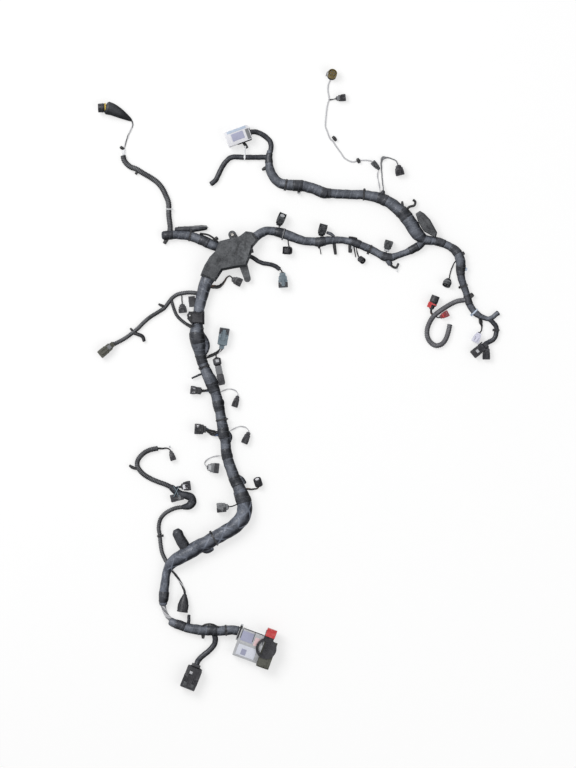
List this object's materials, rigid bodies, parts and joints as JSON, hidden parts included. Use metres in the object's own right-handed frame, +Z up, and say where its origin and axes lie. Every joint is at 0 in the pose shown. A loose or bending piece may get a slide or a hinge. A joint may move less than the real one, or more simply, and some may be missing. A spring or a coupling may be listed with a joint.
{
  "type": "engine wiring harness",
  "caption": "Engine wiring harness laid flat: taped trunk and branches, moulded hub cover, small connectors on short leads and a control unit connector with a lever.",
  "frame": {"origin": "centre of the harness's outline, without its free leads, on the surface it lies on", "axes": "+Z up from the surface, +Y along the picture's upward direction, +X to its right"},
  "size_m": [0.9696, 1.4941, 0.0426],
  "materials": {
    "tape": "matt woven tape",
    "blue_tape": "matt woven tape with a bluish lattice",
    "sleeve": "semi-gloss protective sleeve",
    "conduit": "satin corrugated or taped conduit",
    "cover_plastic": "fine-grained moulded plastic",
    "black_plastic": "satin moulded plastic",
    "dark_grey_plastic": "satin moulded plastic",
    "grey_plastic": "satin moulded plastic",
    "blue_grey_plastic": "satin moulded plastic",
    "pale_plastic": "satin moulded plastic",
    "lilac_plastic": "satin moulded plastic",
    "olive_plastic": "satin moulded plastic",
    "gold_brown_plastic": "satin moulded plastic",
    "red_plastic": "satin moulded plastic",
    "dark_red_plastic": "satin moulded plastic"
  },
  "bodies": {
    "harness": {"bell_boot": "black_plastic", "blue_grey_connector": "blue_grey_plastic", "bottom_box_connector": "black_plastic", "bottom_branch_lead": "conduit", "bottom_run_bundle": "tape", "box_connector": "pale_plastic", "cover_lead": "conduit", "dome_connector": "grey_plastic", "fine_connector_a": "grey_plastic", "fine_connector_b": "black_plastic", "fine_connector_c": "grey_plastic", "green_grey_connector": "blue_grey_plastic", "hanging_black_connector": "black_plastic", "hub_cover": "cover_plastic", "junction_cover": "dark_grey_plastic", "left_arm_bundle": "conduit", "left_branch_lead": "conduit", "left_end_connector": "olive_plastic", "left_loop_lead": "conduit", "lower_left_connector": "black_plastic", "lower_left_lead": "conduit", "lower_left_return_lead": "conduit", "lower_left_splice": "tape", "mouth_connector_a": "black_plastic", "mouth_connector_b": "black_plastic", "pair_connector": "black_plastic", "rail_bundle": "conduit", "rail_connector_1": "grey_plastic", "rail_connector_2": "black_plastic", "rail_connector_3": "grey_plastic", "rail_connector_4": "grey_plastic", "red_lock_connector": "black_plastic", "red_mark_connector": "dark_red_plastic", "right_end_lead": "conduit", "right_loop_lead": "conduit", "right_run_bundle": "tape", "ring_terminal": "black_plastic", "round_gold_connector": "gold_brown_plastic", "round_grey_connector": "grey_plastic", "side_connector_a": "black_plastic", "side_connector_b": "black_plastic", "small_black_connector": "black_plastic", "small_lower_connector": "lilac_plastic", "splice_connector_upper": "black_plastic", "stacked_connector": "black_plastic", "thin_long_lead": "conduit", "top_branch_lead": "conduit", "top_loop_lead": "conduit", "top_run_bundle": "tape", "trunk_bend": "blue_tape", "trunk_bracket": "black_plastic", "trunk_sleeve": "sleeve", "trunk_wrap": "tape", "unit_cover": "dark_grey_plastic", "unit_housing": "olive_plastic", "upper_left_boot": "black_plastic", "upper_left_lead": "conduit", "white_connector": "lilac_plastic"},
    "lever": {"unit_lever": "black_plastic"},
    "lock": {"unit_lock": "red_plastic"}
  },
  "joints": [
    {"name": "lever_swing", "type": "hinge", "parent": "harness", "child": "lever", "pos_m": [-0.07869, -0.64368, 0], "axis": [0, 0, -1], "range_deg": [0, 65]},
    {"name": "lock_slide", "type": "slide", "parent": "lever", "child": "lock", "axis": [0.342, 0.9397, 0], "range_m": [0, 0.004]}
  ]
}
